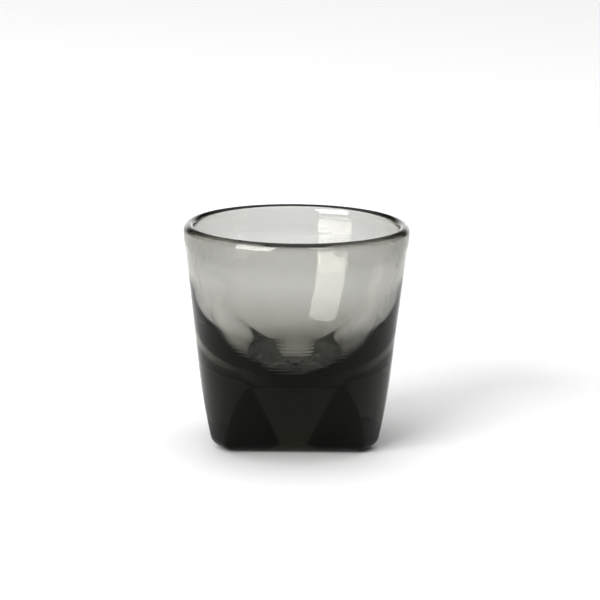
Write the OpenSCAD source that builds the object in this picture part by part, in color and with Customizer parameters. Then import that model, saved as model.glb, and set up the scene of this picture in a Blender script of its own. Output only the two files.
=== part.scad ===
/* [Rim] */
// Outside diameter of the tumbler over its rounded lip
rim_d = 73; // [68:0.5:80]
// Height from the foot to the top of the lip
height = 71.9; // [70:0.1:80]
// Thickness of the lip from its inner to its outer face
lip_w = 3.8; // [3.4:0.1:4.8]
// Height of the rounded lip bead
lip_h = 5.5; // [4:0.1:6]
// Height below the bead over which the outside flares out to it
flare_h = 7; // [3:0.1:8]
// Height below the bead over which its inner face eases into the inner wall
inner_flare_h = 5; // [3:0.1:6]

/* [Outer wall] */
// Radius of the outer cone level with the lip's widest line
wall_top_r = 36.4; // [35:0.05:36.45]
// Radius of the outer cone at the foot, before the flats are cut
foot_r = 28.7; // [27:0.1:31]
// Radius that rounds the foot's outer edge
foot_fillet = 3.3; // [1:0.1:4]

/* [Flats] */
// Number of flats cut round the base
flat_count = 3; // [3:1:4]
// Distance from the axis to a flat's foot
flat_foot = 17.8; // [17:0.1:21]
// How far a flat leans out for each millimetre of height
flat_lean = 0.385; // [0.35:0.005:0.5]

/* [Bowl] */
// Height of the bowl's lowest point, which is the thickness of the heavy base
bowl_floor = 21.2; // [18:0.1:26]
// Height at which the rounded bowl meets the straight inner wall
bowl_top = 60.6; // [55:0.1:63]
// Radius of the inside at that height
bowl_r = 32.3; // [30:0.1:33]
// Radius of the inner wall where it reaches the lip
inner_top_r = 32.9; // [32:0.1:34]
// How strongly the bowl's side swells beyond half an ellipse
bowl_swell = 1; // [0:0.1:1.1]

/* [Underside] */
// Radius of the shallow recess in the middle of the underside
recess_r = 9; // [7:0.5:11]
// Depth of the recess at its centre
recess_h = 0.9; // [0.5:0.1:1.5]
// Distance between the fine rings moulded in the recess
ring_pitch = 3; // [2:0.5:4.5]
// Depth of the fine rings
ring_h = 0.4; // [0.2:0.1:0.5]

/* [Hidden] */
// Steps along the bowl's curve, round a fillet, round the lip and across the recess
bowl_steps = 40;
fillet_steps = 8;
lip_steps = 24;
recess_steps = 36;
rim_r = rim_d / 2;
lip_mid_r = rim_r - lip_w / 2;
lip_mid_z = height - lip_h / 2;
lip_in_r = rim_r - lip_w;
// The swell at equal steps of angle down from the bowl's top, as a share of the ellipse's size
swell_shape = [0, 0, 0.035, 0.075, 0.072, -0.012, 0];
swell_last = len(swell_shape) - 1;
flare_z = lip_mid_z - flare_h;
wall_lean = (wall_top_r - foot_r) / lip_mid_z;
// Height at which a flat runs out of the cone
flat_top = (foot_r - flat_foot) / (flat_lean - wall_lean);
// Room that the cutting blocks have outside the glass
spare = 5;
recess_edge = 0.01;

// Radius of the outer cone at a height
function wall_r(z) = foot_r + wall_lean * z;

// A smooth step from 0 to 1
function ease(u) = u * u * (3 - 2 * u);

// Round between the flat underside and a side that leans out by lean per millimetre of height
function foot_round(foot, lean) =
    let (
        centre = foot + foot_fillet * (lean - sqrt(1 + lean * lean)),
        sweep = 90 - atan(lean)
    )
    [for (i = [0 : fillet_steps])
        let (a = -90 + sweep * i / fillet_steps)
        [centre + foot_fillet * cos(a), foot_fillet * (1 + sin(a))]];

// The shallow recess with its fine rings, from the axis out to the flat foot
function recess_curve() =
    [for (i = [0 : recess_steps - 1])
        let (r = recess_r * i / recess_steps, swell = (1 + cos(180 * r / recess_r)) / 2)
        [r, recess_edge + swell * (recess_h + ring_h * (cos(360 * r / ring_pitch) - 1) / 2)]];

// The wall's gentle flare into the lip bead
function flare_curve() =
    [for (i = [0 : fillet_steps - 1])
        let (u = i / fillet_steps, z = flare_z + flare_h * u)
        [wall_r(z) + (rim_r - wall_r(z)) * ease(u), z]];

// The rounded lip, from its outer face over the top to its inner face
function lip_curve() =
    [for (i = [0 : lip_steps])
        let (a = 180 * i / lip_steps)
        [lip_mid_r + lip_w / 2 * cos(a), lip_mid_z + lip_h / 2 * sin(a)]];

// Radius of the straight inner wall at a height
function inner_r(z) =
    bowl_r + (inner_top_r - bowl_r) * (z - bowl_top) / (lip_mid_z - bowl_top);

// The inner face of the bead as it eases into the inner wall
function inner_flare_curve() =
    [for (i = [1 : fillet_steps])
        let (u = i / fillet_steps, z = lip_mid_z - inner_flare_h * u)
        [lip_in_r + (inner_r(z) - lip_in_r) * ease(u), z]];

// Slope of the swell where two of its steps meet
function swell_slope(k) =
    k == 0 || k == swell_last ? 0 : (swell_shape[k + 1] - swell_shape[k - 1]) / 2;

// Size of the bowl at an angle below its top, as a share of half an ellipse
function swell(a) =
    let (
        k = min(floor(a * swell_last / 90), swell_last - 1),
        t = a * swell_last / 90 - k,
        level = swell_shape[k] + (swell_shape[k + 1] - swell_shape[k]) * ease(t),
        bend = swell_slope(k) * t * pow(1 - t, 2) - swell_slope(k + 1) * pow(t, 2) * (1 - t)
    )
    1 + bowl_swell * (level + bend);

// The bowl, from the straight inner wall down to its lowest point
function bowl_curve() =
    [for (i = [0 : bowl_steps])
        let (a = 90 * i / bowl_steps)
        [bowl_r * cos(a) * swell(a), bowl_top - (bowl_top - bowl_floor) * sin(a) * swell(a)]];

// Half of the tumbler's section, with the axis on its left
function section() = concat(
    recess_curve(),
    [[recess_r, 0]],
    foot_round(foot_r, wall_lean),
    flare_curve(),
    lip_curve(),
    inner_flare_curve(),
    bowl_curve());

// A block that cuts one flat, with the foot's round along its lower edge
module flat_cutter() {
    block_top = flat_top + spare;
    block_out = rim_r + spare;
    outline = concat(
        [[block_out, -spare], [foot_round(flat_foot, flat_lean)[0][0], -spare]],
        foot_round(flat_foot, flat_lean),
        [[flat_foot + flat_lean * block_top, block_top], [block_out, block_top]]);
    rotate([90, 0, 0])
        linear_extrude(height = 2 * rim_r, center = true)
            polygon(outline);
}

// The pressed glass tumbler: a cone with a thick base, three flats and a round bowl
module glass_body() {
    color([0.36, 0.36, 0.34, 0.6])
        difference() {
            rotate_extrude($fn = 96) polygon(section());
            for (i = [0 : flat_count - 1])
                rotate([0, 0, -90 + 360 * i / flat_count]) flat_cutter();
        }
}

glass_body();
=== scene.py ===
"""A small smoke-grey pressed glass tumbler on a pale studio floor."""
import math

import bpy
import numpy as np
from mathutils import Matrix, Vector


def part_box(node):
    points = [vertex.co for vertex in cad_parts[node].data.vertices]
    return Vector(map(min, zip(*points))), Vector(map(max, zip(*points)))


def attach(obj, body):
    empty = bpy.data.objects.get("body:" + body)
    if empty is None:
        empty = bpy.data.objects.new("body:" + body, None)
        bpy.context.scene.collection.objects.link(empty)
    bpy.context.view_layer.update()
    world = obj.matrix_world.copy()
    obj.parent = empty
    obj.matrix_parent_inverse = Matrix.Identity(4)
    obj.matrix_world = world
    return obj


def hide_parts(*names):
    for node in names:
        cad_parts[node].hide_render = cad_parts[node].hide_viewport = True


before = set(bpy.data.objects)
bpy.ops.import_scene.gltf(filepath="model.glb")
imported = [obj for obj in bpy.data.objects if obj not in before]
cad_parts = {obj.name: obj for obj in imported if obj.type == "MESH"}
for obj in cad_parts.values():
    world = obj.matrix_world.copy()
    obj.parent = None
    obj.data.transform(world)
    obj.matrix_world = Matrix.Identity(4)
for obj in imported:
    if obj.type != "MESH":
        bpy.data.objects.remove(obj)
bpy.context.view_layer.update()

MM = 0.001

# Sizes that the frame gives
low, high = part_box("glass_body")
HEIGHT = high[2] - low[2]
RIM_R = (high[0] - low[0]) / 2

# The rim: thickness and height of its rounded bead, and how far it eases into either face of the wall
LIP_W = 3.8 * MM
LIP_H = 5.5 * MM
FLARE_H = 7.0 * MM
INNER_FLARE_H = 5.0 * MM
LIP_MID_Z = HEIGHT - LIP_H / 2

# The outer wall is a cone, with a rounded edge round the foot
WALL_TOP_R = 36.4 * MM
FOOT_R = 28.7 * MM
FOOT_FILLET = 3.3 * MM
WALL_LEAN = (WALL_TOP_R - FOOT_R) / LIP_MID_Z

# The flats cut round the base, and how wide the soft edge is where they meet the cone
FLAT_COUNT = 3
FLAT_FOOT = 17.8 * MM
FLAT_LEAN = 0.385
FLAT_EDGE = 0.8 * MM

# The bowl is half an ellipsoid with a slight swell in its side, under a short straight wall
INNER_TOP_R = 32.9 * MM
BOWL_R = 32.3 * MM
BOWL_FLOOR = 21.2 * MM
BOWL_TOP = 60.6 * MM
# The swell at equal steps of angle down from the bowl's top, as a share of the ellipse's size
SWELL_SHAPE = (0, 0, 0.035, 0.075, 0.072, -0.012, 0)

# Fine level ripples on the lower side of the bowl, and the heights between which they show
RIPPLE_SIZE = 0.03 * MM
RIPPLE_PITCH = 1.1 * MM
RIPPLE_LOW = 23.0 * MM
RIPPLE_HIGH = 42.0 * MM
RIPPLE_FADE = 6.0 * MM
# How the ripples waver round the bowl: each wave's strength, how often it comes in a turn, and its start
RIPPLE_WAVERS = ((0.9, 3, 0), (0.5, 7, 1))
# How much of a ripple is even, how many stronger patches a turn has, and how they drift with height
RIPPLE_EVEN = 0.55
RIPPLE_PATCHES = 5
RIPPLE_DRIFT = 1.7 * MM

# The recess in the underside, with its fine rings
RECESS_R = 9.0 * MM
RECESS_H = 0.9 * MM
RING_PITCH = 3.0 * MM
RING_H = 0.4 * MM

# Mesh steps round the tumbler and along each stretch of its section
TURN_STEPS = 276
RECESS_STEPS = 32
FOOT_STEPS = 8
FILLET_STEPS = 12
FLAT_STEPS = 56
WALL_STEPS = 12
FLARE_STEPS = 10
LIP_STEPS = 32
INNER_STEPS = 20
BOWL_STEPS = 170

# Every direction round the axis that has points, and the direction that one flat faces
TURN = np.arange(TURN_STEPS) * 2 * np.pi / TURN_STEPS
FRONT = -np.pi / 2

# The glass: how strongly a metre of it takes red, green and blue light, and how it bends light
GLASS_TAKES = (84.0, 85.0, 92.0)
GLASS_IOR = 1.52
# A faint warmth in what its surface reflects
GLASS_SHINE = (1.0, 0.99, 0.94, 1.0)
# Its faint waviness: soft lumps to the metre, their height, and the roughness where the polish is poorest
LUMPS_PER_METRE = 90.0
LUMP_DETAIL = 1.0
LUMP_HEIGHT = 0.03 * MM
POOREST_POLISH = 0.012

# The camera's distance and its nearest view in metres, and how it is turned in radians
CAMERA_FAR = 0.8
CAMERA_NEAR = 0.01
CAMERA_DOWN = 0.217
CAMERA_TURN = 0.0198
CAMERA_ROLL = 0.012
# The width of its view at the object, and how far right of and below the middle the foot's centre is
FRAME_WIDTH = 0.19754
FRAME_SIDE = -0.00191
FRAME_DROP = 0.04537
# The width of its sensor in millimetres, which sets the lens
SENSOR = 36.0

# The floor, and the hair's breadth that it lies below the foot
FLOOR_SIZE = 6.0
FLOOR_GAP = 0.2 * MM
FLOOR_COLOUR = (0.9, 0.9, 0.9, 1)
FLOOR_ROUGHNESS = 0.9

# Brightness of the surroundings: the sides, the pale sweep behind, the ceiling and the room in front
SIDE_LIGHT = 0.02
BACK_LIGHT = 1.8
TOP_LIGHT = 1.72
ROOM_LIGHT = 0.3
# Where each fades in and where it is full, by how far a direction points back, up or forward
BACK_EDGE = (0.8, 0.96)
TOP_EDGE = (0.45, 0.8)
ROOM_EDGE = (0.5, 0.9)
# The ceiling grows brighter towards the back, between these two ends
TOP_SLOPE = (-1.4, 0.4)

# The key light, a large soft panel in front and to the left: its place, aim, size and power
KEY_PLACE = (-1.66, -1.66, 0.9)
KEY_AIM = (0, 0, 0.03)
KEY_WIDTH = 1.74
KEY_HEIGHT = 1.82
KEY_POWER = 76.0

# The picture's contrast, and how often light may bounce or pass through a surface
PICTURE_GAMMA = 0.64
LIGHT_BOUNCES = 32
GLOSSY_BOUNCES = 16


def ease(u):
    """A smooth step from 0 to 1."""
    return u * u * (3 - 2 * u)


def outer_radius(z, inset=0.0):
    """Distance from the axis to the cone or a flat, with a soft edge between them, in every direction."""
    step = 2 * np.pi / FLAT_COUNT
    off_middle = np.abs((TURN - FRONT + step / 2) % step - step / 2)
    cone = FOOT_R + WALL_LEAN * z - inset
    flat = (FLAT_FOOT + FLAT_LEAN * z - inset) / np.cos(off_middle)
    share = np.clip(0.5 + 0.5 * (cone - flat) / FLAT_EDGE, 0, 1)
    return cone * (1 - share) + flat * share - FLAT_EDGE * share * (1 - share)


def ring(radius, z):
    """One ring of points round the axis."""
    radius = np.broadcast_to(radius, TURN.shape)
    return np.column_stack([radius * np.cos(TURN), radius * np.sin(TURN), np.full(TURN_STEPS, z)])


def recess_height(r):
    """Height of the underside's recess at a distance from the axis."""
    dome = (1 + math.cos(math.pi * r / RECESS_R)) / 2
    return dome * (RECESS_H + RING_H * (math.cos(2 * math.pi * r / RING_PITCH) - 1) / 2)


def underside_rings():
    """The recess, the flat foot and the round at its edge."""
    rings = []
    for i in range(1, RECESS_STEPS + 1):
        r = RECESS_R * i / RECESS_STEPS
        rings.append(ring(r, recess_height(r)))
    foot_edge = outer_radius(0.0, FOOT_FILLET)
    for i in range(1, FOOT_STEPS):
        rings.append(ring(RECESS_R + (foot_edge - RECESS_R) * i / FOOT_STEPS, 0.0))
    for i in range(FILLET_STEPS + 1):
        a = math.pi / 2 * i / FILLET_STEPS
        z = FOOT_FILLET * (1 - math.cos(a))
        rings.append(ring(outer_radius(z, FOOT_FILLET * (1 - math.sin(a))), z))
    return rings


def outside_rings():
    """The cone with its flats, the flare under the bead, and the rounded lip."""
    # A flat ends where it runs out of the cone, a little higher for its soft edge
    flat_top = (FOOT_R - FLAT_FOOT) / (FLAT_LEAN - WALL_LEAN) + FLAT_EDGE / FLAT_LEAN
    flare_z = LIP_MID_Z - FLARE_H
    heights = list(np.linspace(FOOT_FILLET, flat_top, FLAT_STEPS)[1:])
    heights += list(np.linspace(flat_top, flare_z, WALL_STEPS)[1:])
    rings = [ring(outer_radius(z), z) for z in heights]
    for i in range(1, FLARE_STEPS + 1):
        u = i / FLARE_STEPS
        z = flare_z + FLARE_H * u
        rings.append(ring(outer_radius(z) * (1 - ease(u)) + RIM_R * ease(u), z))
    for i in range(1, LIP_STEPS + 1):
        a = math.pi * i / LIP_STEPS
        r = RIM_R - LIP_W / 2 + LIP_W / 2 * math.cos(a)
        rings.append(ring(r, LIP_MID_Z + LIP_H / 2 * math.sin(a)))
    return rings


def swell_slope(k):
    """Slope of the swell where two of its steps meet."""
    inside = 0 < k < len(SWELL_SHAPE) - 1
    return (SWELL_SHAPE[k + 1] - SWELL_SHAPE[k - 1]) / 2 if inside else 0


def swell(degrees):
    """Size of the bowl at an angle below its top, as a share of half an ellipse."""
    last = len(SWELL_SHAPE) - 1
    k = min(int(degrees * last / 90), last - 1)
    t = degrees * last / 90 - k
    level = SWELL_SHAPE[k] + (SWELL_SHAPE[k + 1] - SWELL_SHAPE[k]) * ease(t)
    bend = swell_slope(k) * t * (1 - t) ** 2 - swell_slope(k + 1) * t ** 2 * (1 - t)
    return 1 + level + bend


def ripple(z):
    """How far the fine ripples at one height push the bowl's side out, in every direction."""
    fade = ease(min(max((z - RIPPLE_LOW) / RIPPLE_FADE, 0), 1))
    fade *= ease(min(max((RIPPLE_HIGH - z) / RIPPLE_FADE, 0), 1))
    phase = 2 * np.pi * z / RIPPLE_PITCH
    for strength, waves, start in RIPPLE_WAVERS:
        phase = phase + strength * np.sin(waves * TURN + start)
    patch = RIPPLE_EVEN + (1 - RIPPLE_EVEN) * np.sin(RIPPLE_PATCHES * TURN + z / RIPPLE_DRIFT)
    return RIPPLE_SIZE * fade * np.sin(phase) * patch


def bowl_rings():
    """The inner face of the bead, the straight inner wall and the round bowl under it."""
    rings = []
    inner_lean = (INNER_TOP_R - BOWL_R) / (LIP_MID_Z - BOWL_TOP)
    for i in range(1, INNER_STEPS + 1):
        z = LIP_MID_Z + (BOWL_TOP - LIP_MID_Z) * i / INNER_STEPS
        share = ease(min((LIP_MID_Z - z) / INNER_FLARE_H, 1))
        wall = BOWL_R + inner_lean * (z - BOWL_TOP)
        rings.append(ring((RIM_R - LIP_W) * (1 - share) + wall * share, z))
    for i in range(1, BOWL_STEPS):
        degrees = 90 * i / BOWL_STEPS
        a = math.radians(degrees)
        r = BOWL_R * math.cos(a) * swell(degrees)
        z = BOWL_TOP - (BOWL_TOP - BOWL_FLOOR) * math.sin(a) * swell(degrees)
        rings.append(ring(r + ripple(z), z))
    return rings


def glass_mesh():
    """One closed skin from the middle of the underside, over the lip, to the bottom of the bowl."""
    rings = underside_rings() + outside_rings() + bowl_rings()
    points = np.concatenate(rings + [[[0, 0, recess_height(0)], [0, 0, BOWL_FLOOR]]])
    under, bowl = len(points) - 2, len(points) - 1
    here = np.arange(TURN_STEPS)
    there = (here + 1) % TURN_STEPS
    faces = [(under, b, a) for a, b in zip(here.tolist(), there.tolist())]
    for k in range(len(rings) - 1):
        a, b = k * TURN_STEPS, (k + 1) * TURN_STEPS
        faces += np.column_stack([a + here, a + there, b + there, b + here]).tolist()
    last = (len(rings) - 1) * TURN_STEPS
    faces += [(last + a, last + b, bowl) for a, b in zip(here.tolist(), there.tolist())]
    mesh = bpy.data.meshes.new("tumbler")
    mesh.from_pydata(points.tolist(), [], faces)
    mesh.polygons.foreach_set("use_smooth", [True] * len(mesh.polygons))
    mesh.update()
    return mesh


def add_waviness(tree, shader):
    """The faint lumps of a pressed surface, and a polish that varies a little with them."""
    place = tree.nodes.new("ShaderNodeTexCoord")
    lumps = tree.nodes.new("ShaderNodeTexNoise")
    lumps.inputs["Scale"].default_value = LUMPS_PER_METRE
    lumps.inputs["Detail"].default_value = LUMP_DETAIL
    tree.links.new(place.outputs["Object"], lumps.inputs["Vector"])
    bump = tree.nodes.new("ShaderNodeBump")
    bump.inputs["Strength"].default_value = 1.0
    bump.inputs["Distance"].default_value = LUMP_HEIGHT
    tree.links.new(lumps.outputs["Fac"], bump.inputs["Height"])
    tree.links.new(bump.outputs["Normal"], shader.inputs["Normal"])
    polish = tree.nodes.new("ShaderNodeMapRange")
    polish.inputs["To Min"].default_value = 0.0
    polish.inputs["To Max"].default_value = POOREST_POLISH
    tree.links.new(lumps.outputs["Fac"], polish.inputs["Value"])
    tree.links.new(polish.outputs["Result"], shader.inputs["Roughness"])


def add_depth(tree):
    """The smoke colour, which deepens with the length of glass that light passes through."""
    depth = tree.nodes.new("ShaderNodeVolumeAbsorption")
    density = max(GLASS_TAKES)
    depth.inputs["Density"].default_value = density
    depth.inputs["Color"].default_value = (*[1 - take / density for take in GLASS_TAKES], 1)
    tree.links.new(depth.outputs["Volume"], tree.nodes["Material Output"].inputs["Volume"])


def smoked_glass():
    """Clear polished glass, coloured right through, with the faint waviness of a pressed surface."""
    material = bpy.data.materials.new("smoked_glass")
    material.use_nodes = True
    tree = material.node_tree
    shader = tree.nodes["Principled BSDF"]
    shader.inputs["Base Color"].default_value = (1, 1, 1, 1)
    shader.inputs["Transmission Weight"].default_value = 1.0
    shader.inputs["IOR"].default_value = GLASS_IOR
    shader.inputs["Specular Tint"].default_value = GLASS_SHINE
    add_waviness(tree, shader)
    add_depth(tree)
    return material


def make_tumbler():
    """The glass, in place of its plain CAD node."""
    tumbler = bpy.data.objects.new("tumbler_glass", glass_mesh())
    bpy.context.scene.collection.objects.link(tumbler)
    tumbler.data.materials.append(smoked_glass())
    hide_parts("glass_body")
    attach(tumbler, "root")


def make_camera():
    """A camera in front of the tumbler that looks slightly down at it."""
    ahead = Vector((
        math.sin(CAMERA_TURN) * math.cos(CAMERA_DOWN),
        math.cos(CAMERA_TURN) * math.cos(CAMERA_DOWN),
        -math.sin(CAMERA_DOWN)))
    level = Vector((math.cos(CAMERA_TURN), -math.sin(CAMERA_TURN), 0))
    above = level.cross(ahead)
    right = level * math.cos(CAMERA_ROLL) + above * math.sin(CAMERA_ROLL)
    top = above * math.cos(CAMERA_ROLL) - level * math.sin(CAMERA_ROLL)
    spot = -FRAME_SIDE * right + FRAME_DROP * top - CAMERA_FAR * ahead
    camera = bpy.data.objects.new("camera", bpy.data.cameras.new("camera"))
    bpy.context.scene.collection.objects.link(camera)
    axes = Matrix((right, top, -ahead)).transposed().to_4x4()
    camera.matrix_world = Matrix.Translation(spot) @ axes
    camera.data.sensor_width = SENSOR
    camera.data.lens = SENSOR * CAMERA_FAR / FRAME_WIDTH
    camera.data.clip_start = CAMERA_NEAR
    bpy.context.scene.camera = camera


def make_floor():
    """A pale floor, a hair below the foot so that the two faces never coincide."""
    half = FLOOR_SIZE / 2
    mesh = bpy.data.meshes.new("floor")
    corners = [(-half, -half), (half, -half), (half, half), (-half, half)]
    mesh.from_pydata([(x, y, -FLOOR_GAP) for x, y in corners], [], [(0, 1, 2, 3)])
    floor = bpy.data.objects.new("floor", mesh)
    bpy.context.scene.collection.objects.link(floor)
    material = bpy.data.materials.new("floor_paper")
    material.use_nodes = True
    shader = material.node_tree.nodes["Principled BSDF"]
    shader.inputs["Base Color"].default_value = FLOOR_COLOUR
    shader.inputs["Roughness"].default_value = FLOOR_ROUGHNESS
    mesh.materials.append(material)


def smooth_step(tree, value, start, end):
    """A node value that climbs smoothly from 0 to 1 as another goes from start to end."""
    node = tree.nodes.new("ShaderNodeMapRange")
    node.interpolation_type = "SMOOTHSTEP"
    node.inputs["From Min"].default_value = start
    node.inputs["From Max"].default_value = end
    tree.links.new(value, node.inputs["Value"])
    return node.outputs["Result"]


def combine(tree, operation, first, second):
    """A node value made from two others, or from one and a number."""
    node = tree.nodes.new("ShaderNodeMath")
    node.operation = operation
    for socket, value in zip(node.inputs, (first, second)):
        if isinstance(value, float):
            socket.default_value = value
        else:
            tree.links.new(value, socket)
    return node.outputs["Value"]


def make_world():
    """Soft surroundings: a bright ceiling, a pale sweep behind, a dim room in front and dark sides."""
    world = bpy.data.worlds.new("studio")
    world.use_nodes = True
    tree = world.node_tree
    place = tree.nodes.new("ShaderNodeTexCoord")
    split = tree.nodes.new("ShaderNodeSeparateXYZ")
    tree.links.new(place.outputs["Generated"], split.inputs["Vector"])
    back, up = split.outputs["Y"], split.outputs["Z"]
    forward = combine(tree, "MULTIPLY", back, -1.0)
    slope = smooth_step(tree, back, *TOP_SLOPE)
    ceiling = combine(tree, "MULTIPLY", smooth_step(tree, up, *TOP_EDGE), slope)
    total = combine(tree, "MULTIPLY", ceiling, TOP_LIGHT)
    sweep = combine(tree, "MULTIPLY", smooth_step(tree, back, *BACK_EDGE), BACK_LIGHT)
    total = combine(tree, "ADD", total, sweep)
    room = combine(tree, "MULTIPLY", smooth_step(tree, forward, *ROOM_EDGE), ROOM_LIGHT)
    total = combine(tree, "ADD", total, room)
    total = combine(tree, "ADD", total, SIDE_LIGHT)
    background = tree.nodes["Background"]
    background.inputs["Color"].default_value = (1, 1, 1, 1)
    tree.links.new(total, background.inputs["Strength"])
    bpy.context.scene.world = world


def make_key_light():
    """One large soft light at the left."""
    data = bpy.data.lights.new("key", "AREA")
    data.shape = "RECTANGLE"
    data.size = KEY_WIDTH
    data.size_y = KEY_HEIGHT
    data.energy = KEY_POWER
    light = bpy.data.objects.new("key", data)
    light.location = KEY_PLACE
    light.rotation_euler = (Vector(KEY_AIM) - Vector(KEY_PLACE)).to_track_quat("-Z", "Y").to_euler()
    bpy.context.scene.collection.objects.link(light)


def set_picture():
    """The picture's contrast, with enough bounces for light to find its way through thick glass."""
    scene = bpy.context.scene
    scene.view_settings.view_transform = "Standard"
    scene.view_settings.gamma = PICTURE_GAMMA
    scene.cycles.max_bounces = LIGHT_BOUNCES
    scene.cycles.transmission_bounces = LIGHT_BOUNCES
    scene.cycles.glossy_bounces = GLOSSY_BOUNCES


set_picture()
make_camera()
make_floor()
make_world()
make_key_light()
make_tumbler()
